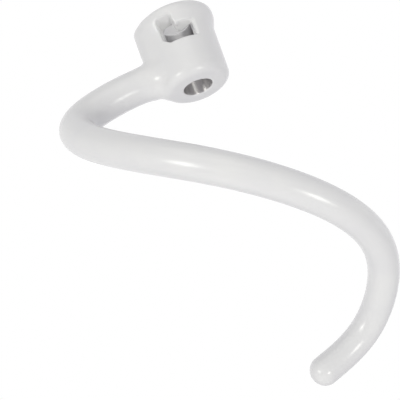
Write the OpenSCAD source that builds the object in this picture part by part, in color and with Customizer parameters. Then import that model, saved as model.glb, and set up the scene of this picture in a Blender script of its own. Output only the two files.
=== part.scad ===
// Spiral dough hook of a stand mixer: one coated casting that hangs by its hub from the drive shaft.
// The origin is on the shaft's axis, at the seat on which the shaft's cross pin carries the hook.
// +Z is up, the side window faces -Y, and the arm leaves the hub towards -X.
// A drop is a distance down from the flange's top face, a reach is a distance out from the axis,
// and an angle turns from +X towards +Y.

/* [Hub] */
// Height of the hub along the shaft, without its collar
hub_h = 34.8; // [34:0.1:42]
// Diameter of the flange at the top
flange_d = 35.2; // [33:0.2:40]
// Height of the flange's straight side, with its rounded edge
flange_h = 4.7; // [4:0.1:6]
// Height of the taper from the flange down to the neck
taper_h = 5.4; // [3:0.1:10]
// Diameter of the neck where the taper ends
neck_d = 31.6; // [30:0.2:33]
// Diameter of the neck at the foot
foot_d = 30.2; // [27:0.2:31]
// Radius of the flange's top edge
top_round = 2.6; // [0.5:0.1:3.5]
// Radius of the foot's edge
foot_round = 3.4; // [0.5:0.1:4.4]
// Diameter of the boss that carries the arm
boss_d = 21; // [20:0.5:28]
// Reach of the boss's face, on the arm's side
boss_reach = 19; // [16:0.1:21]
// Radius of the boss's top edge
boss_round = 1.2; // [0.4:0.1:3]
// Diameter of the collar that stands on the flange round the bore
collar_d = 19.4; // [18.6:0.2:20]
// Height of the collar
collar_h = 3.7; // [1:0.1:4]
// Radius of the collar's top edge
collar_round = 0.8; // [0.2:0.1:1]

/* [Shaft bore] */
// Diameter of the bore that slides over the drive shaft
bore_d = 13; // [12:0.1:14]
// Chamfer at the bore's lower mouth
bore_chamfer = 0.5; // [0.2:0.1:1]
// Diameter of the coated lead-in at the top of the bore
lead_in_d = 15; // [14.4:0.1:17]
// Drop of the lead-in's lower end
lead_in_drop = 2.2; // [1:0.1:3]

/* [Pin lock] */
// Width of the keyway that the shaft's cross pin drops through
keyway_w = 6.6; // [5:0.1:8]
// Reach of the keyway and of the pocket in which the pin turns
pin_reach = 12.8; // [11:0.1:13.2]
// Angle of the keyway
keyway_angle = -40; // [-50:1:-30]
// Drop of the floor that the pin turns over
floor_drop = 17.3; // [16:0.1:20]
// Height of the passage that the pin turns through
passage_h = 7.8; // [7:0.1:9]
// Height of the seat above the passage, where the pin locks
seat_h = 4.4; // [2:0.1:5]
// Distance of the window's seat-side jamb from the axis, at the mouth
jamb_left = 8.2; // [7:0.1:9]
// Distance of the window's other jamb from the axis, at the mouth
jamb_right = 9; // [7:0.1:10]
// Draft angle of the seat-side jamb
draft_left = 11; // [0:1:20]
// Draft angle of the other jamb
draft_right = 27; // [0:1:35]
// Distance that the tooth hangs below the passage's ceiling
tooth_h = 1.5; // [0.5:0.1:3]
// Width of the tooth's root, on the seat side of its tip
tooth_left = 1.1; // [0.4:0.1:2]
// Width of the tooth's root, on the passage side of its tip
tooth_right = 0.9; // [0.4:0.1:2]
// Radius of the seat's upper corner
seat_round = 2; // [0.5:0.1:3]
// Radius of the window's other upper corner
window_round = 0.8; // [0.3:0.1:2]
// Size of the slope in the window's lower seat-side corner
corner_slope = 3.4; // [1:0.1:5]

/* [Arm section] */
// Diameter of the arm at the hub
root_d = 15.8; // [13:0.1:17]
// Diameter of the arm at the elbow
elbow_d = 15.3; // [12:0.1:17]
// Diameter of the arm at the tip
tip_d = 12.2; // [9:0.1:14]
// Growth of the arm's diameter where it blends into the hub
flare = 1; // [0:0.1:2]
// Length of that blend, out from the boss's face
flare_l = 7; // [3:0.5:12]

/* [Arm route] */
// Angle at which the arm leaves the hub
root_angle = 180; // [170:1:190]
// Drop of the arm's middle inside the hub
root_drop = 25; // [24:0.1:26]
// Reach of the arm's stretch away from the hub
stretch_reach = 30; // [26:0.5:34]
// Drop of the arm's middle at the end of that stretch
stretch_drop = 25; // [22:0.1:32]
// Angle from the stretch to the elbow, where the spiral starts
elbow_turn = 11; // [6:1:18]
// Angle from each station of the spiral to the next
sweep_step = 38.5; // [34:0.5:44]
// Reach of the elbow
reach_elbow = 55.7; // [45:0.1:65]
// Drop of the elbow
drop_elbow = 38.9; // [36:0.1:46]
// Reach of the spiral's 1st station after the elbow
reach_1 = 52.7; // [42:0.1:62]
// Drop of the 1st station
drop_1 = 71; // [66:0.1:78]
// Reach of the 2nd station, at the front
reach_2 = 51.2; // [40:0.1:60]
// Drop of the 2nd station
drop_2 = 96.2; // [92:0.1:104]
// Reach of the 3rd station
reach_3 = 49.4; // [38:0.1:57]
// Drop of the 3rd station
drop_3 = 118.5; // [114:0.1:124]
// Reach of the 4th station, on the side away from the elbow
reach_4 = 44; // [34:0.1:53]
// Drop of the 4th station
drop_4 = 136.8; // [131:0.1:142]
// Reach of the 5th station, where the arm curls in under the hub
reach_5 = 33; // [24:0.1:43]
// Drop of the 5th station
drop_5 = 155; // [149:0.1:158]
// Reach of the tip's centre
reach_tip = 15.8; // [8:0.1:28]
// Drop of the tip's lowest point
drop_tip = 172; // [165:0.1:180]

/* [Hidden] */

coat = "#e4e4e6";

// Roundness of the turned faces
$fn = 96;
// Distance by which a cut passes the face that it opens
past = 1;
// Sides of the arm, and its rings from one station to the next
arm_sides = 24;
arm_rings = 10;
// Rings of the arm's domed tip
dome_rings = 6;
// Passes that settle the guides, each of which shrinks the error that the last one left
settle_passes = 24;

flange_r = flange_d / 2;
neck_r = neck_d / 2;
foot_r = foot_d / 2;
bore_r = bore_d / 2;
boss_r = boss_d / 2;
collar_r = collar_d / 2;
neck_drop = flange_h + taper_h;
ceiling_drop = floor_drop - passage_h;
seat_drop = ceiling_drop - seat_h;
tooth_drop = ceiling_drop + tooth_h;

// The arm starts inside the hub's wall, half way between the bore and the foot's edge.
root_reach = (bore_r + foot_r) / 2;
elbow_angle = root_angle + elbow_turn;

// A point at an angle, a reach and a drop
function at(angle, reach, drop) = [reach * cos(angle), reach * sin(angle), -drop];

// Points of an arc in the plane, about a centre and from one angle to another
function arc(centre, r, from, to, steps = 8) =
    [for (i = [0:steps]) let (a = from + (to - from) * i / steps) centre + r * [cos(a), sin(a)]];

// Stations that the arm's middle line passes through, from the hub to the tip
spiral_reach = [reach_elbow, reach_1, reach_2, reach_3, reach_4, reach_5, reach_tip];
spiral_drop = [drop_elbow, drop_1, drop_2, drop_3, drop_4, drop_5, drop_tip - tip_d / 2];
stations = concat(
    [at(root_angle, root_reach, root_drop), at(root_angle, stretch_reach, stretch_drop)],
    [for (k = [0:len(spiral_reach) - 1]) at(elbow_angle + k * sweep_step, spiral_reach[k], spiral_drop[k])]
);
last = len(stations) - 1;
elbow = 2;

// Guides of a cubic B-spline, moved until the curve passes through every station
function settled(g, passes) =
    passes == 0 ? g : settled([for (i = [0:last]) g[i] + miss(g, i)], passes - 1);
function miss(g, i) = i == 0 || i == last ? [0, 0, 0] : stations[i] - (g[i - 1] + 4 * g[i] + g[i + 1]) / 6;
guides = settled(stations, settle_passes);

// A guide, with one more in line past each end
function guide(i) =
    i < 0 ? 2 * guides[0] - guides[1] :
    i > last ? 2 * guides[last] - guides[last - 1] :
    guides[i];

// The arm's middle line, where s counts stations
function route(s) =
    let (i = max(0, min(floor(s), last - 1)), t = s - i)
    (pow(1 - t, 3) * guide(i - 1)
        + (3 * pow(t, 3) - 6 * pow(t, 2) + 4) * guide(i)
        + (-3 * pow(t, 3) + 3 * pow(t, 2) + 3 * t + 1) * guide(i + 1)
        + pow(t, 3) * guide(i + 2)) / 6;
function heading(s) = let (v = route(s + 0.001) - route(s - 0.001)) v / norm(v);
function reach(p) = norm([p.x, p.y]);

// The arm's diameter: even down to the elbow, then easing off towards the tip
function arm_d(s) =
    s < elbow ? root_d + (elbow_d - root_d) * s / elbow :
    tip_d + (elbow_d - tip_d) * pow((last - s) / (last - elbow), 2);
function blend(s) =
    s > 1 ? 0 : flare * pow(max(0, min(1, (boss_reach + flare_l - reach(route(s))) / flare_l)), 2);
function arm_r(s) = (arm_d(s) + blend(s)) / 2;

// A ring of points about a centre, square to a direction
function ring(centre, along, r) =
    let (side = cross([0, 0, 1], along), across = side / norm(side), lift = cross(along, across))
    [for (j = [0:arm_sides - 1]) let (a = 360 * j / arm_sides) centre + r * (cos(a) * across + sin(a) * lift)];

module arm() {
    end = heading(last);
    tip_r = arm_r(last);
    swept = [for (k = [0:last * arm_rings]) let (s = k / arm_rings) ring(route(s), heading(s), arm_r(s))];
    dome = [for (k = [1:dome_rings - 1]) let (a = 90 * k / dome_rings)
        ring(route(last) + tip_r * sin(a) * end, end, tip_r * cos(a))];
    rings = concat(swept, dome);
    count = len(rings);
    points = concat([for (r = rings) each r], [route(last) + tip_r * end]);
    function id(k, j) = k * arm_sides + j % arm_sides;
    sides = [for (k = [0:count - 2], j = [0:arm_sides - 1]) each [
        [id(k, j), id(k + 1, j), id(k + 1, j + 1)],
        [id(k, j), id(k + 1, j + 1), id(k, j + 1)]
    ]];
    start = [[for (j = [0:arm_sides - 1]) j]];
    apex = [for (j = [0:arm_sides - 1]) [id(count - 1, j), count * arm_sides, id(count - 1, j + 1)]];
    polyhedron(points = points, faces = concat(start, sides, apex), convexity = 6);
}

// Hub turned about the shaft's axis: collar, flange, taper, drafted neck and rounded foot
module hub() {
    rotate_extrude()
        polygon(concat(
            [[0, collar_h]],
            arc([collar_r - collar_round, collar_h - collar_round], collar_round, 90, 0),
            [[collar_r, 0]],
            arc([flange_r - top_round, -top_round], top_round, 90, 0),
            [[flange_r, -flange_h], [neck_r, -neck_drop]],
            arc([foot_r - foot_round, foot_round - hub_h], foot_round, 0, -90),
            [[0, -hub_h]]
        ));
}

// Boss on the arm's side of the hub: straight down to the arm's top, then drawn in to the arm
module boss() {
    arm_top = root_drop - root_d / 2;
    arm_foot = min(root_drop + root_d / 2, hub_h - foot_round);
    rotate([0, 0, root_angle])
        translate([boss_reach - boss_r, 0, 0])
            rotate_extrude()
                polygon(concat(
                    [[0, 0]],
                    arc([boss_r - boss_round, -boss_round], boss_round, 90, 0),
                    [[boss_r, -arm_top], [root_d / 2, -arm_foot], [0, -arm_foot]]
                ));
}

// Bore through the hub, with a lead-in above and a chamfer below
module shaft_bore() {
    translate([0, 0, -hub_h - past])
        cylinder(h = hub_h + collar_h + 2 * past, r = bore_r);
    translate([0, 0, -lead_in_drop])
        cylinder(h = lead_in_drop + collar_h + past, d = lead_in_d);
    translate([0, 0, -hub_h - past])
        cylinder(h = past + bore_chamfer, r1 = bore_r + bore_chamfer + past, r2 = bore_r);
}

// Keyway down from the collar's top, which the shaft's cross pin enters by
module keyway() {
    rotate([0, 0, keyway_angle])
        translate([0, -keyway_w / 2, -floor_drop])
            cube([pin_reach, keyway_w, floor_drop + collar_h + past]);
}

// Pocket in which the pin turns from the keyway to the seat
module turning_pocket() {
    half_key = asin(keyway_w / 2 / pin_reach);
    seat_edge = -90 - asin(jamb_left / pin_reach);
    rotate([0, 0, seat_edge])
        translate([0, 0, -floor_drop])
            rotate_extrude(angle = keyway_angle + half_key - seat_edge)
                square([pin_reach, passage_h]);
}

// Outline of the window from the front: passage, seat and the tooth between them
module window_outline() {
    polygon(concat(
        arc([-jamb_left + seat_round, -seat_drop - seat_round], seat_round, 180, 90),
        [[-tooth_left, -seat_drop], [0, -tooth_drop], [tooth_right, -ceiling_drop]],
        arc([jamb_right - window_round, -ceiling_drop - window_round], window_round, 90, 0),
        [[jamb_right, -floor_drop], [-jamb_left + corner_slope, -floor_drop]],
        [[-jamb_left, -floor_drop + corner_slope]]
    ));
}

// Plan of the window, which narrows from the mouth towards the bore by the jambs' draft
module window_plan() {
    mouth = flange_r;
    jamb_y = -neck_r;
    left_out = jamb_left + (mouth - neck_r) * tan(draft_left);
    right_out = jamb_right + (mouth - neck_r) * tan(draft_right);
    polygon([
        [-left_out, -mouth], [right_out, -mouth],
        [jamb_right + jamb_y * tan(draft_right), 0], [-jamb_left - jamb_y * tan(draft_left), 0]
    ]);
}

module side_window() {
    intersection() {
        rotate([90, 0, 0])
            linear_extrude(flange_r + past)
                window_outline();
        translate([0, 0, -hub_h])
            linear_extrude(hub_h)
                window_plan();
    }
}

module dough_hook() {
    color(coat)
        translate([0, 0, seat_drop])
            difference() {
                union() {
                    hub();
                    boss();
                    arm();
                }
                shaft_bore();
                keyway();
                turning_pocket();
                side_window();
            }
}

dough_hook();
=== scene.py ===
# %% [markdown]
# # A spiral dough hook, dressed for its picture
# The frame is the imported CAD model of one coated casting: a hub with a shaft bore, a pin lock
# window and a keyway, and a tapering spiral arm. This script replaces the plain solid by a finer
# skin of the same sizes, with blended joins and softened edges, and gives it a glossy white coat
# and bare metal in the bore.

# %% Load the frame
import math

import bpy
import numpy as np
from mathutils import Matrix, Vector


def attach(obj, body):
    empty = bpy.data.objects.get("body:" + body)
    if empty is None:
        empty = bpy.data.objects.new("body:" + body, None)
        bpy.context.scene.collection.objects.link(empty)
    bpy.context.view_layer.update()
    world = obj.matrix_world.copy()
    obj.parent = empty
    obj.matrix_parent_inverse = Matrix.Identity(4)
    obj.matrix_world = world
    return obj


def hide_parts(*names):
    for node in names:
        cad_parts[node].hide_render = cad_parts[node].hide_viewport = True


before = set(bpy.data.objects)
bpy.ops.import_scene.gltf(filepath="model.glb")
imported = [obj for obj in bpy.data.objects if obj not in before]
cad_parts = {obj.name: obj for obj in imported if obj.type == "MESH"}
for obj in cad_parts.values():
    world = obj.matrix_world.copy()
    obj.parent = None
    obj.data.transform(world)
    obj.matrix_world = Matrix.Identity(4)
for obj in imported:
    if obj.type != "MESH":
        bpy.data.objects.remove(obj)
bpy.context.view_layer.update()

# %% [markdown]
# ## Sizes
# All sizes are in millimetres, as in the CAD model. A drop is measured down from the flange's top
# face, a reach out from the shaft's axis, and an angle from +X towards +Y. The frame's origin is
# at the pin's seat, so the skin is moved up by the seat's drop at the end.

# %% Sizes of the casting
HUB_H = 34.8
NECK_DROPS = [0, 4.7, 10.1, 34.8]
NECK_RADII = [17.6, 17.6, 15.8, 15.1]
TOP_ROUND = 2.6
FOOT_ROUND = 3.4
COLLAR_R = 9.7
COLLAR_H = 3.7
COLLAR_ROUND = 0.8
BOSS_R = 10.5
BOSS_REACH = 19
BOSS_ROUND = 1.2

BORE_R = 6.5
LEAD_IN_R = 7.5
LEAD_IN_DROP = 2.2
KEYWAY_W = 6.6
KEYWAY_ANGLE = -40
PIN_REACH = 12.8
FLOOR_DROP = 17.3
CEILING_DROP = 9.5
SEAT_DROP = 5.1
TOOTH_DROP = 11
JAMB_LEFT = 8.2
JAMB_RIGHT = 9
DRAFT_LEFT = 11
DRAFT_RIGHT = 27
TOOTH_LEFT = 1.1
TOOTH_RIGHT = 0.9
SEAT_ROUND = 2
WINDOW_ROUND = 0.8
CORNER_SLOPE = 3.4

ROOT_D = 15.8
ELBOW_D = 15.3
TIP_D = 12.2
FLARE = 1
FLARE_L = 7
ROOT_DROP = 25
STRETCH_REACH = 30
ELBOW_ANGLE = 191
SWEEP_STEP = 38.5
SPIRAL_REACH = [55.7, 52.7, 51.2, 49.4, 44, 33, 15.8]
SPIRAL_DROP = [38.9, 71, 96.2, 118.5, 136.8, 155, 165.9]


# %% [markdown]
# ## The arm's middle line
# The line is a cubic B-spline. Its guides are moved until the curve passes through every station,
# exactly as in the CAD model.

# %% Route of the arm
def at(angle, reach, drop):
    turn = math.radians(angle)
    return [reach * math.cos(turn), reach * math.sin(turn), -drop]


root_reach = (BORE_R + NECK_RADII[-1]) / 2
stations = [at(180, root_reach, ROOT_DROP), at(180, STRETCH_REACH, ROOT_DROP)]
for k, (reach, drop) in enumerate(zip(SPIRAL_REACH, SPIRAL_DROP)):
    stations.append(at(ELBOW_ANGLE + k * SWEEP_STEP, reach, drop))
stations = np.array(stations)
LAST = len(stations) - 1

guides = stations.copy()
for _ in range(24):
    guides[1:-1] += stations[1:-1] - (guides[:-2] + 4 * guides[1:-1] + guides[2:]) / 6
guides = np.vstack([2 * guides[0] - guides[1], guides, 2 * guides[-1] - guides[-2]])


def route(s):
    """Points of the middle line and their speed, where s counts stations."""
    i = np.clip(np.floor(s).astype(int), 0, LAST - 1)
    t = s - i
    place = [(1 - t) ** 3, 3 * t**3 - 6 * t**2 + 4, -3 * t**3 + 3 * t**2 + 3 * t + 1, t**3]
    speed = [-3 * (1 - t) ** 2, 9 * t**2 - 12 * t, -9 * t**2 + 6 * t + 3, 3 * t**2]
    points = sum(w[:, None] * guides[i + j] for j, w in enumerate(place)) / 6
    speeds = sum(w[:, None] * guides[i + j] for j, w in enumerate(speed)) / 6
    return points, speeds


def arm_radius(s, points):
    even = ROOT_D + (ELBOW_D - ROOT_D) * s / 2
    easing = TIP_D + (ELBOW_D - TIP_D) * ((LAST - s) / (LAST - 2)) ** 2
    out = np.hypot(points[:, 0], points[:, 1])
    flare = FLARE * np.clip((BOSS_REACH + FLARE_L - out) / FLARE_L, 0, 1) ** 2 * (s < 1)
    return (np.where(s < 2, even, easing) + flare) / 2


line, _ = route(np.linspace(0, LAST, 2000))
print("arm's middle line is", round(np.linalg.norm(np.diff(line, axis=0), axis=1).sum(), 1), "mm long")


# %% [markdown]
# ## The hub as a field
# The hub is first described as a field: at each point of space, how far it is from the surface,
# and negative inside. Two fields join with a fillet, or meet in a rounded edge.

# %% Field tools
def join(a, b, fillet):
    return np.maximum(fillet, np.minimum(a, b)) - np.hypot(
        np.maximum(fillet - a, 0), np.maximum(fillet - b, 0)
    )


def meet(a, b, rounding):
    return -join(-a, -b, rounding)


def outline_gap(across, up, corners):
    """Distance from a closed outline, negative inside it."""
    nearest = np.full(across.shape, np.inf)
    inside = np.zeros(across.shape, bool)
    for (ax, ay), (bx, by) in zip(corners, corners[1:] + corners[:1]):
        ex, ey = bx - ax, by - ay
        wx, wy = across - ax, up - ay
        t = np.clip((wx * ex + wy * ey) / (ex * ex + ey * ey), 0, 1)
        nearest = np.minimum(nearest, (wx - t * ex) ** 2 + (wy - t * ey) ** 2)
        if ey:
            inside ^= ((ay > up) != (by > up)) & (wx < ex * wy / ey)
    return np.where(inside, -1, 1) * np.sqrt(nearest)


def arc(cx, cy, r, start, end, steps=8):
    turns = [math.radians(start + (end - start) * i / steps) for i in range(steps + 1)]
    return [(cx + r * math.cos(a), cy + r * math.sin(a)) for a in turns]


# %% [markdown]
# The body of the hub is a turned profile whose plan is stretched towards the arm: the hull of the
# neck's circle and the boss's circle. The boss draws in below the arm's top.

# %% Hub, collar and arm
ARM_TOP = ROOT_DROP - ROOT_D / 2
ARM_FOOT = HUB_H - FOOT_ROUND


def egg(out, aside, r1, r2, apart):
    """Distance from the hull of two circles, the second one further out."""
    b = np.clip((r1 - r2) / apart, -0.999, 0.999)
    a = np.sqrt(1 - b * b)
    k = a * out - b * aside
    hull = a * aside + b * out - r1
    first = np.hypot(out, aside) - r1
    second = np.hypot(out - apart, aside) - (r1 - b * apart)
    return np.where(k < 0, first, np.where(k > a * apart, second, hull))


def body_field(x, y, z):
    soft = [-0.4, 0, 0.4]
    neck = sum(np.interp(o - z, NECK_DROPS, NECK_RADII) for o in soft) / len(soft)
    boss = sum(np.interp(o - z, [ARM_TOP, ARM_FOOT], [BOSS_R, ROOT_D / 2]) for o in soft) / len(soft)
    hub = egg(-x, np.abs(y), neck, boss, BOSS_REACH - BOSS_R)
    hub = meet(hub, z, np.interp(-x, [10, 16], [TOP_ROUND, BOSS_ROUND]))
    hub = meet(hub, -z - HUB_H, FOOT_ROUND)
    collar = meet(np.hypot(x, y) - COLLAR_R, z - COLLAR_H, COLLAR_ROUND)
    return join(hub, np.maximum(collar, -z - FLOOR_DROP), 0.8)


def arm_field(x, y, z):
    """Distance from the arm near the hub, by sliding along the middle line to the nearest point."""
    points = np.stack([x, y, z], 1)
    s = np.clip((-x - root_reach) / (STRETCH_REACH - root_reach), 0, 1.6)
    for _ in range(4):
        middle, speed = route(s)
        ahead = ((points - middle) * speed).sum(1) / (speed * speed).sum(1)
        s = np.clip(s + ahead, 0, 1.8)
    middle, _ = route(s)
    return np.linalg.norm(points - middle, axis=1) - arm_radius(s, middle)


# %% [markdown]
# The cuts are the bore with its lead-in, the keyway, the pocket that the pin turns in, and the
# window with its seat and tooth.

# %% Bore and pin lock
WINDOW = (
    arc(SEAT_ROUND - JAMB_LEFT, -SEAT_DROP - SEAT_ROUND, SEAT_ROUND, 180, 90)
    + [(-TOOTH_LEFT, -SEAT_DROP), (0, -TOOTH_DROP), (TOOTH_RIGHT, -CEILING_DROP)]
    + arc(JAMB_RIGHT - WINDOW_ROUND, -CEILING_DROP - WINDOW_ROUND, WINDOW_ROUND, 90, 0)
    + [(JAMB_RIGHT, -FLOOR_DROP), (CORNER_SLOPE - JAMB_LEFT, -FLOOR_DROP)]
    + [(-JAMB_LEFT, CORNER_SLOPE - FLOOR_DROP)]
)


def cut_field(x, y, z):
    out = np.hypot(x, y)
    bore = out - BORE_R
    lead_in = np.maximum(out - LEAD_IN_R, -z - LEAD_IN_DROP)

    turn = math.radians(KEYWAY_ANGLE)
    along = x * math.cos(turn) + y * math.sin(turn)
    aside = y * math.cos(turn) - x * math.sin(turn)
    keyway = np.maximum.reduce(
        [along - PIN_REACH, -along, np.abs(aside) - KEYWAY_W / 2, -z - FLOOR_DROP]
    )

    first = math.radians(-90) - math.asin(JAMB_LEFT / PIN_REACH)
    final = turn + math.asin(KEYWAY_W / 2 / PIN_REACH)
    pocket = np.maximum.reduce([
        out - PIN_REACH,
        x * math.sin(first) - y * math.cos(first),
        y * math.cos(final) - x * math.sin(final),
        z + CEILING_DROP,
        -z - FLOOR_DROP,
    ])

    left, right = math.radians(DRAFT_LEFT), math.radians(DRAFT_RIGHT)
    from_mouth = -y - NECK_RADII[2]
    window = np.maximum.reduce([
        outline_gap(x, z, WINDOW),
        (-x - JAMB_LEFT - from_mouth * math.tan(left)) * math.cos(left),
        (x - JAMB_RIGHT - from_mouth * math.tan(right)) * math.cos(right),
        y,
    ])
    return np.minimum.reduce([bore, lead_in, keyway, pocket, window])


# %% [markdown]
# ## The skin
# The field is read on a grid. The arm joins the hub with a fillet, small at the top and foot, where
# the outline shows a tight corner, and wider between. A light blur rounds every edge that is left,
# as a thick coat does. Each grid cell that the surface crosses gives one point, and each grid edge
# that it crosses gives one face between four points.

# %% Read the field on a grid
STEP = 0.38
FILLET_DROPS = [17, 23, 28, 33]
FILLETS = [2, 4, 4, 1.6]
LOW = np.array([-32.0, -18.6, -36.2])
COUNTS = np.ceil((np.array([18.6, 18.6, 4.9]) - LOW) / STEP).astype(int) + 1

grid = np.stack(np.meshgrid(*[LOW[i] + STEP * np.arange(COUNTS[i]) for i in range(3)], indexing="ij"), -1)
X, Y, Z = grid.reshape(-1, 3).T
fillet = np.interp(-Z, FILLET_DROPS, FILLETS)
solid = join(body_field(X, Y, Z), arm_field(X, Y, Z), fillet)
field = np.maximum(solid, -cut_field(X, Y, Z)).reshape(COUNTS)
for axis in range(3):
    ends = np.pad(field, [(2, 2) if i == axis else (0, 0) for i in range(3)], mode="edge")
    n = COUNTS[axis]
    field = sum(
        w * np.take(ends, np.arange(n) + i, axis=axis) for i, w in enumerate([1 / 16, 1 / 4, 3 / 8, 1 / 4, 1 / 16])
    )
print("grid of", "x".join(str(n) for n in COUNTS), "points")


# %% Points and faces where the field changes sign
def contour(field):
    inside = field < 0
    n = np.array(field.shape) - 1
    corner = lambda a, c: a[c[0]:n[0] + c[0], c[1]:n[1] + c[1], c[2]:n[2] + c[2]]
    corners = [(i, j, k) for i in (0, 1) for j in (0, 1) for k in (0, 1)]
    held = sum(corner(inside, c).astype(int) for c in corners)
    crossed = (held > 0) & (held < 8)
    cells = np.argwhere(crossed)
    number = np.full(crossed.shape, -1)
    number[crossed] = np.arange(len(cells))

    total = np.zeros((len(cells), 3))
    weight = np.zeros(len(cells))
    for c in corners:
        for axis in range(3):
            if c[axis]:
                continue
            d = tuple(1 if i == axis else c[i] for i in range(3))
            a, b = corner(field, c)[crossed], corner(field, d)[crossed]
            cut = (a < 0) != (b < 0)
            t = np.where(cut, a / np.where(cut, a - b, 1), 0)
            spot = np.array(c, float) + t[:, None] * (np.array(d) - np.array(c))
            total += spot * cut[:, None]
            weight += cut
    points = LOW + STEP * (cells + total / weight[:, None])

    faces = []
    for axis in range(3):
        u, v = (axis + 1) % 3, (axis + 2) % 3
        size = list(field.shape)
        size[axis] -= 1
        low = inside[tuple(slice(0, m) for m in size)]
        high = np.take(inside, np.arange(1, field.shape[axis]), axis=axis)
        edges = np.argwhere(low != high)
        edges = edges[(edges[:, u] > 0) & (edges[:, v] > 0) & (edges[:, u] < n[u]) & (edges[:, v] < n[v])]
        ring = []
        for du, dv in ((1, 1), (0, 1), (0, 0), (1, 0)):
            cell = edges.copy()
            cell[:, u] -= du
            cell[:, v] -= dv
            ring.append(number[tuple(cell.T)])
        ring = np.stack(ring, 1)
        leaving = low[tuple(edges.T)]
        faces.append(np.where(leaving[:, None], ring, ring[:, ::-1]))
    return points, np.vstack(faces)


points, faces = contour(field)
print(len(points), "points and", len(faces), "faces round the hub")

# %% [markdown]
# The points are evened out along the surface and set back on it a few times, and the field's slope
# gives each one an exact normal.

# %% Even out the points
slope = np.stack(np.gradient(field, STEP), -1)
known = np.concatenate([slope, field[..., None]], -1)


def read(values, places):
    """Values of a grid between its points."""
    g = (places - LOW) / STEP
    i = np.clip(g.astype(int), 0, COUNTS - 2)
    t = g - i
    total = 0
    for c in np.ndindex(2, 2, 2):
        w = np.prod(np.where(c, t, 1 - t), axis=1)
        total = total + w[:, None] * values[tuple((i + c).T)]
    return total


sides = np.vstack([faces[:, [i, (i + 1) % 4]] for i in range(4)])
keys = np.sort(sides, 1)
_, which, uses = np.unique(keys, axis=0, return_inverse=True, return_counts=True)
rim_sides = sides[uses[which.ravel()] == 1]
rim = np.unique(rim_sides)
neighbours = np.bincount(sides[:, 0], minlength=len(points))


def settle(points):
    for _ in range(2):
        values = read(known, points)
        steep = (values[:, :3] ** 2).sum(1)
        points = points - values[:, :3] * (values[:, 3] / np.maximum(steep, 0.05))[:, None]
    return points


for _ in range(4):
    mean = np.stack([np.bincount(sides[:, 0], points[sides[:, 1], i], len(points)) for i in range(3)], 1)
    mean /= neighbours[:, None]
    even = points + 0.6 * (mean - points)
    even[rim] = points[rim]
    points = settle(even)
normals = read(slope, points)
normals /= np.linalg.norm(normals, axis=1)[:, None]
print("rim where the arm goes on:", len(rim), "points at x =", round(points[rim, 0].mean(), 1))

# %% [markdown]
# ## The arm
# The rim's own points are carried along the middle line, so the skin goes on without a seam. The
# frame round the line turns as little as it can. The tip is a dome.

# %% Carry the rim along the arm
fine = np.linspace(0, LAST, 4001)
middles, speeds = route(fine)
headings = speeds / np.linalg.norm(speeds, axis=1)[:, None]
across = np.empty_like(headings)
across[0] = np.cross([0, 0, 1], headings[0])
for i in range(1, len(fine)):
    a = across[i - 1] - headings[i] * (across[i - 1] @ headings[i])
    across[i] = a / np.linalg.norm(a)
lifts = np.cross(headings, across)


def along(table, s):
    return np.stack([np.interp(s, fine, table[:, i]) for i in range(3)], 1)


start = points[rim]
s = np.clip((-start[:, 0] - root_reach) / (STRETCH_REACH - root_reach), 0, 1.6)
for _ in range(6):
    middle, speed = route(s)
    s = s + ((start - middle) * speed).sum(1) / (speed * speed).sum(1)
middle, _ = route(s)
turn = np.arctan2(((start - middle) * along(lifts, s)).sum(1), ((start - middle) * along(across, s)).sum(1))

first = s.max() + 0.03
lengths = np.concatenate([[0], np.cumsum(np.linalg.norm(np.diff(middles, axis=0), axis=1))])
left = lengths[-1] - np.interp(first, fine, lengths)
rings = int(left / 2)
stops = np.interp(lengths[-1] - left + left * np.arange(rings + 1) / rings, lengths, fine)

all_points, all_normals, all_faces = [points], [normals], [faces]
order = np.full(len(points), -1)
order[rim] = np.arange(len(rim))
edge = order[rim_sides]
held = rim


def add_ring(ring_points, ring_normals):
    global held
    new = sum(len(p) for p in all_points) + np.arange(len(rim))
    all_points.append(ring_points)
    all_normals.append(ring_normals)
    all_faces.append(np.stack([held[edge[:, 1]], held[edge[:, 0]], new[edge[:, 0]], new[edge[:, 1]]], 1))
    held = new


for stop in stops:
    here = np.full(len(rim), stop)
    middle, _ = route(here)
    outward = np.cos(turn)[:, None] * along(across, here) + np.sin(turn)[:, None] * along(lifts, here)
    add_ring(middle + arm_radius(here, middle)[:, None] * outward, outward)

tip_r = TIP_D / 2
tip = middles[-1]
for k in range(1, 20):
    rise = math.pi / 2 * k / 20
    normal = math.cos(rise) * outward + math.sin(rise) * headings[-1]
    add_ring(tip + tip_r * normal, normal)
apex = sum(len(p) for p in all_points)
all_points.append((tip + tip_r * headings[-1])[None])
all_normals.append(headings[-1][None])
cap = [[int(held[b]), int(held[a]), apex] for a, b in edge]

# %% [markdown]
# The whole skin becomes one mesh in metres. It takes the place of the CAD node.

# %% Make the mesh
skin = np.vstack(all_points) + [0, 0, SEAT_DROP]
mesh = bpy.data.meshes.new("dough_hook_skin")
mesh.from_pydata((skin / 1000).tolist(), [], np.vstack(all_faces).tolist() + cap)
mesh.polygons.foreach_set("use_smooth", [True] * len(mesh.polygons))
mesh.normals_split_custom_set_from_vertices(np.vstack(all_normals).tolist())
hook = bpy.data.objects.new("dough_hook_skin", mesh)
bpy.context.scene.collection.objects.link(hook)
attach(hook, "root")
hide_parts("dough_hook")
print("skin has", sum(len(p.vertices) - 2 for p in mesh.polygons), "triangles")


# %% [markdown]
# ## Materials

# %% Node tools
def linear(hex_colour):
    """A linear colour from an sRGB hex value."""
    parts = [int(hex_colour[i:i + 2], 16) / 255 for i in (1, 3, 5)]
    return [c / 12.92 if c <= 0.04045 else ((c + 0.055) / 1.055) ** 2.4 for c in parts] + [1]


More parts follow.
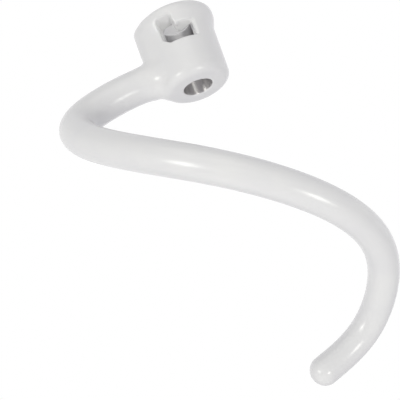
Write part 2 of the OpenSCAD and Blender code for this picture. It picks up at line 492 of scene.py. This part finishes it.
def add(tree, kind, settings=(), **inputs):
    """Adds a node. An input is a value or another node's output."""
    node = tree.nodes.new(kind)
    for name, value in dict(settings).items():
        setattr(node, name, value)
    for name, value in inputs.items():
        by_number = name[0] == "i" and name[1:].isdigit()
        socket = node.inputs[int(name[1:]) if by_number else name.replace("_", " ")]
        if isinstance(value, bpy.types.NodeSocket):
            tree.links.new(value, socket)
        else:
            socket.default_value = value
    return node


# %% [markdown]
# One shader dresses the whole casting, and a mask says where the coat ends and bare metal starts.
# The coat is masked off the shaft bore and the bore is reamed to size, so the edge between them is
# sharp. Material slots would follow the mesh's faces and leave a ragged edge, so the mask is worked
# out from the distance to the shaft's axis and the height below the lead-in.

# %% Where the metal is bare
EDGE_MM = 0.1
COAT_STOPS_R = BORE_R + 0.2

finish = bpy.data.materials.new("epoxy_coated_casting_with_reamed_bore")
finish.use_nodes = True
tree = finish.node_tree
shader = tree.nodes["Principled BSDF"]
place = add(tree, "ShaderNodeTexCoord").outputs["Object"]
in_mm = add(tree, "ShaderNodeVectorMath", {"operation": "SCALE"}, Vector=place, Scale=1000.0).outputs[0]
plan = add(tree, "ShaderNodeVectorMath", {"operation": "MULTIPLY"}, i0=in_mm, i1=(1, 1, 0)).outputs[0]
from_axis = add(tree, "ShaderNodeVectorMath", {"operation": "LENGTH"}, i0=plan).outputs["Value"]
height = add(tree, "ShaderNodeSeparateXYZ", Vector=in_mm).outputs["Z"]


def fade(value, full, none):
    """A value from 1 where the input reaches the first number to 0 at the second."""
    limits = {"From_Min": none, "From_Max": full, "To_Min": 0.0, "To_Max": 1.0}
    return add(tree, "ShaderNodeMapRange", Value=value, **limits).outputs[0]


in_bore = fade(from_axis, COAT_STOPS_R - EDGE_MM, COAT_STOPS_R)
under_lead_in = fade(height, SEAT_DROP - LEAD_IN_DROP - EDGE_MM, SEAT_DROP - LEAD_IN_DROP)
bare = add(tree, "ShaderNodeMath", {"operation": "MULTIPLY"}, i0=in_bore, i1=under_lead_in).outputs[0]
print("bare metal inside", round(COAT_STOPS_R, 2), "mm from the shaft's axis")

# %% [markdown]
# The coat is white epoxy powder, sprayed on and baked. It flows out glossy and thick, so every edge
# under it turns soft, and it never levels quite: a faint orange peel stays, a few millimetres from
# crest to crest, which makes the edges of the reflections waver. Where it lies a little thinner, the
# white is a touch cooler and duller. The roughness stays under 0.274: the denoiser counts rougher
# gloss as colour, and a thin line shows where that begins on so even a surface. In the lock, light
# bounces between white walls more often than the render follows, so its white there is painted bounce light.

# %% Epoxy powder coat
COAT_WHITE = "#efefee"
COAT_THIN = "#e7e7e9"
# painted bounce light: a lighter white for the walls inside the lock and the lead-in
PAINTED_BOUNCE_IN_LOCK = "#fbfbfb"
DRIFT_MM = 14
PEEL_MM = 2.2
PEEL_HEIGHT = 0.03

thin = add(tree, "ShaderNodeTexNoise", Vector=in_mm, Scale=1 / DRIFT_MM, Detail=2.0).outputs["Fac"]
peel = add(tree, "ShaderNodeTexNoise", Vector=in_mm, Scale=1 / PEEL_MM, Detail=1.0).outputs["Fac"]
coat_limits = {"To_Min": 0.22, "To_Max": 0.273}
coat_gloss = add(tree, "ShaderNodeMapRange", Value=thin, **coat_limits).outputs[0]
coat_relief = add(tree, "ShaderNodeMath", {"operation": "MULTIPLY"}, i0=peel, i1=PEEL_HEIGHT).outputs[0]

# %% [markdown]
# The bore is bare cast aluminium, reamed after the coating. The reamer leaves fine rings round the
# wall. A ring is a groove, so it spreads a reflection up and down the wall and not sideways: a lamp
# seen in the bore becomes a bright band along the shaft. Bumps alone would need rings finer than a
# pixel, so the shader spreads its reflection itself, round a tangent that circles the shaft, and
# the drawn rings only break the band up. Higher up the bore, through the lock, the metal is painted
# darker: painted shade, which fades out towards the foot.

# %% Reamed aluminium
METAL_BRIGHT = "#dfdddd"
# painted shade: a darker metal colour for the bore up through the lock, full above the first height and gone below
# the second
METAL_PAINTED_SHADE = "#cfcecf"
SHADE_FULL_ABOVE = -14
SHADE_NONE_BELOW = -20
RINGS_MM = 0.3
RING_HEIGHT = 0.25
RING_SPREAD = 1.0

ring_scale = (0.02, 0.02, 1 / RINGS_MM)
ring_place = add(tree, "ShaderNodeVectorMath", {"operation": "MULTIPLY"}, i0=in_mm, i1=ring_scale)
ring_noise = add(tree, "ShaderNodeTexNoise", Vector=ring_place.outputs[0], Scale=1.0, Detail=3.0).outputs["Fac"]
worn = fade(ring_noise, 0.65, 0.35)
# painted shade: its share grows up the bore
painted_shade_up_bore = fade(height, SHADE_FULL_ABOVE, SHADE_NONE_BELOW)
metal_limits = {"To_Min": 0.39, "To_Max": 0.47}
metal_gloss = add(tree, "ShaderNodeMapRange", Value=worn, **metal_limits).outputs[0]
metal_relief = add(tree, "ShaderNodeMath", {"operation": "MULTIPLY"}, i0=ring_noise, i1=RING_HEIGHT).outputs[0]

# %% [markdown]
# Both finishes are laid over each other by the mask. The painted bounce light of the lock needs a
# mask too: deeper than 0.8 mm under the hub's outer face, above the pocket's floor and below the
# seat, or on the wall of the lead-in. Heights in the bump node are shares of one distance, 0.2 mm here.

# %% Lay the finishes together
BUMP_MM = 0.2


def blend(kind, share, first, second):
    """Mixes two colours (RGBA) or two values (FLOAT)."""
    ends = {"RGBA": (6, 7, 2), "FLOAT": (2, 3, 0)}[kind]
    inputs = {"i0": share, f"i{ends[0]}": first, f"i{ends[1]}": second}
    return add(tree, "ShaderNodeMix", {"data_type": kind}, **inputs).outputs[ends[2]]


taper = {"From_Min": SEAT_DROP - NECK_DROPS[2], "From_Max": SEAT_DROP - NECK_DROPS[1]}
taper |= {"To_Min": NECK_RADII[2], "To_Max": NECK_RADII[1]}
skin_r = add(tree, "ShaderNodeMapRange", Value=height, **taper).outputs[0]
depth = add(tree, "ShaderNodeMath", {"operation": "SUBTRACT"}, i0=skin_r, i1=from_axis).outputs[0]
in_wall = fade(depth, 0.8, 0.4)
below_seat = fade(height, 0.2, 0.6)
in_pocket = add(tree, "ShaderNodeMath", {"operation": "MULTIPLY"}, i0=in_wall, i1=below_seat).outputs[0]
in_lead_in = fade(from_axis, LEAD_IN_R + 0.4, LEAD_IN_R + 0.8)
either = add(tree, "ShaderNodeMath", {"operation": "MAXIMUM"}, i0=in_pocket, i1=in_lead_in).outputs[0]
over_floor = fade(height, SEAT_DROP - FLOOR_DROP - 0.4, SEAT_DROP - FLOOR_DROP - 0.8)
# mask of the painted bounce light inside the lock and the lead-in
bounce_light_in_lock = add(tree, "ShaderNodeMath", {"operation": "MULTIPLY"}, i0=either, i1=over_floor).outputs[0]
white = blend("RGBA", thin, linear(COAT_WHITE), linear(COAT_THIN))
# painted bounce light: the walls inside the lock are coloured lighter
white = blend("RGBA", bounce_light_in_lock, white, linear(PAINTED_BOUNCE_IN_LOCK))
# painted shade: the metal is coloured darker higher up the bore
metal = blend("RGBA", painted_shade_up_bore, linear(METAL_BRIGHT), linear(METAL_PAINTED_SHADE))
tree.links.new(blend("RGBA", bare, white, metal), shader.inputs["Base Color"])
tree.links.new(blend("FLOAT", bare, coat_gloss, metal_gloss), shader.inputs["Roughness"])
tree.links.new(bare, shader.inputs["Metallic"])
spread = add(tree, "ShaderNodeMath", {"operation": "MULTIPLY"}, i0=bare, i1=RING_SPREAD).outputs[0]
tree.links.new(spread, shader.inputs["Anisotropic"])
shader.inputs["Anisotropic Rotation"].default_value = 0.25
round_shaft = add(tree, "ShaderNodeTangent", {"direction_type": "RADIAL", "axis": "Z"}).outputs[0]
tree.links.new(round_shaft, shader.inputs["Tangent"])
relief = blend("FLOAT", bare, coat_relief, metal_relief)
bump = add(tree, "ShaderNodeBump", Height=relief, Strength=1.0, Distance=BUMP_MM / 1000)
tree.links.new(bump.outputs[0], shader.inputs["Normal"])
mesh.materials.append(finish)
print("finish has", len(tree.nodes), "nodes")

# %% [markdown]
# ## Camera, floor and light

# %% Camera at the picture's viewing angle
ELEVATION, ROLL = math.radians(-20), math.radians(-20.12)
FOCAL = 957.2 / 400
FOOT = Vector((0, 0, (SEAT_DROP - HUB_H) / 1000))
FOOT_DISTANCE = 0.4171
FOOT_SEEN = ((198.4 - 200) / 400, (200 - 87.5) / 400)

back = Vector((0, -math.cos(ELEVATION), math.sin(ELEVATION)))
level = Vector((1, 0, 0))
upright = back.cross(level)
right = math.cos(ROLL) * level + math.sin(ROLL) * upright
up = back.cross(right)
camera_data = bpy.data.cameras.new("camera")
camera_data.sensor_width = 36
camera_data.lens = 36 * FOCAL
camera_data.clip_start = 0.01
camera = bpy.data.objects.new("camera", camera_data)
bpy.context.scene.collection.objects.link(camera)
place = FOOT + FOOT_DISTANCE * (back - right * FOOT_SEEN[0] / FOCAL - up * FOOT_SEEN[1] / FOCAL)
camera.matrix_world = Matrix.Translation(place) @ Matrix((right, up, back)).transposed().to_4x4()
bpy.context.scene.camera = camera
print("camera at", [round(v, 4) for v in place])

# %% [markdown]
# The hook hangs free, as it does from the mixer, because the camera looks up from under the hub. So
# the pale floor lies well below it, under the lowest lamp. The floor is a matt paper sweep: a faint
# fibre tone keeps it from looking like a flat sheet of colour.

# %% Floor
FLOOR_Z = -0.8
FLOOR_HALF = 3
PAPER = "#f4f4f4", "#efefef"
FIBRE_M = 0.004

corners = [(x * FLOOR_HALF, y * FLOOR_HALF, FLOOR_Z) for x, y in ((-1, -1), (1, -1), (1, 1), (-1, 1))]
floor_mesh = bpy.data.meshes.new("floor")
floor_mesh.from_pydata(corners, [], [(0, 1, 2, 3)])
floor = bpy.data.objects.new("floor", floor_mesh)
bpy.context.scene.collection.objects.link(floor)
paper = bpy.data.materials.new("matt_paper_sweep")
paper.use_nodes = True
tree = paper.node_tree
spot = add(tree, "ShaderNodeTexCoord").outputs["Object"]
fibre = add(tree, "ShaderNodeTexNoise", Vector=spot, Scale=1 / FIBRE_M, Detail=2.0).outputs["Fac"]
paper_white = blend("RGBA", fibre, linear(PAPER[0]), linear(PAPER[1]))
tree.links.new(paper_white, tree.nodes["Principled BSDF"].inputs["Base Color"])
tree.nodes["Principled BSDF"].inputs["Roughness"].default_value = 0.9
floor_mesh.materials.append(paper)

# %% [markdown]
# Two softboxes stand where their reflections show on a glossy coat: one to the left of the camera
# and one to its right and below it. Wider, weaker ones fill from above and from the side. A lamp is
# set by how wide it looks from the hook and by how much light it gives there, so moving it nearer
# or further doesn't change the picture. Lamps are a trace warmer than the room, so the shade looks
# faintly cool. The camera doesn't see the lamps themselves.

# %% Softboxes
MIDDLE = Vector((0, 0, -0.08))
LIGHT_DISTANCE = 0.75
LAMP_COLOUR = "#fffff8"


def softbox(name, azimuth, elevation, degrees, light_given):
    """A square lamp. The azimuth counts from -Y towards +X, in degrees, as does the elevation."""
    level_out = math.cos(math.radians(elevation))
    turn = math.radians(azimuth)
    height = math.sin(math.radians(elevation))
    towards = Vector((math.sin(turn) * level_out, -math.cos(turn) * level_out, height))
    data = bpy.data.lights.new(name, "AREA")
    data.size = 2 * LIGHT_DISTANCE * math.tan(math.radians(degrees / 2))
    data.energy = light_given * math.pi * LIGHT_DISTANCE**2
    data.color = linear(LAMP_COLOUR)[:3]
    lamp = bpy.data.objects.new(name, data)
    bpy.context.scene.collection.objects.link(lamp)
    lamp.location = MIDDLE + LIGHT_DISTANCE * towards
    lamp.rotation_euler = towards.to_track_quat("Z", "Y").to_euler()
    lamp.visible_camera = False
    print(name, "at", [round(v, 2) for v in lamp.location], "m,", round(data.energy, 2), "W")


softbox("left_softbox", -46, -6, 15, 0.76)
softbox("right_softbox", 27, -40, 13, 0.73)
softbox("upper_softbox", 0, 40, 45, 0.6)
softbox("side_softbox", -90, -40, 45, 0.28)

# %% [markdown]
# The rest of the light comes from the pale room: it leans to the left and to the back, so the side
# of the hub away from it is a little darker. The camera, reflections and whatever is seen through
# something clear meet plain white instead, at a strength of 1, which lights nothing.

# %% Surroundings
ROOM_COLOUR = "#faf9fe"
ROOM_LEVEL = 0.61
ROOM_LEAN = (0.05, 0.37, 0)

world = bpy.data.worlds.new("pale_room")
bpy.context.scene.world = world
world.use_nodes = True
tree = world.node_tree
way = add(tree, "ShaderNodeTexCoord").outputs["Generated"]
lean = add(tree, "ShaderNodeVectorMath", {"operation": "DOT_PRODUCT"}, i0=way, i1=ROOM_LEAN)
level_there = add(tree, "ShaderNodeMath", {"operation": "ADD"}, i0=lean.outputs["Value"], i1=ROOM_LEVEL)
room = add(tree, "ShaderNodeBackground", Color=linear(ROOM_COLOUR), Strength=level_there.outputs[0])
plain = tree.nodes["Background"]
plain.inputs["Color"].default_value = (1, 1, 1, 1)
plain.inputs["Strength"].default_value = 1.0
ray =add(tree, "ShaderNodeLightPath").outputs
seen = ray["Is Camera Ray"]
for kind in ("Is Glossy Ray", "Is Transmission Ray"):
    seen = add(tree, "ShaderNodeMath", {"operation": "MAXIMUM"}, i0=seen, i1=ray[kind]).outputs[0]
either = add(tree, "ShaderNodeMixShader", i0=seen, i1=room.outputs[0], i2=plain.outputs[0])
tree.links.new(either.outputs[0], tree.nodes["World Output"].inputs["Surface"])

bpy.context.scene.view_settings.view_transform = "Standard"
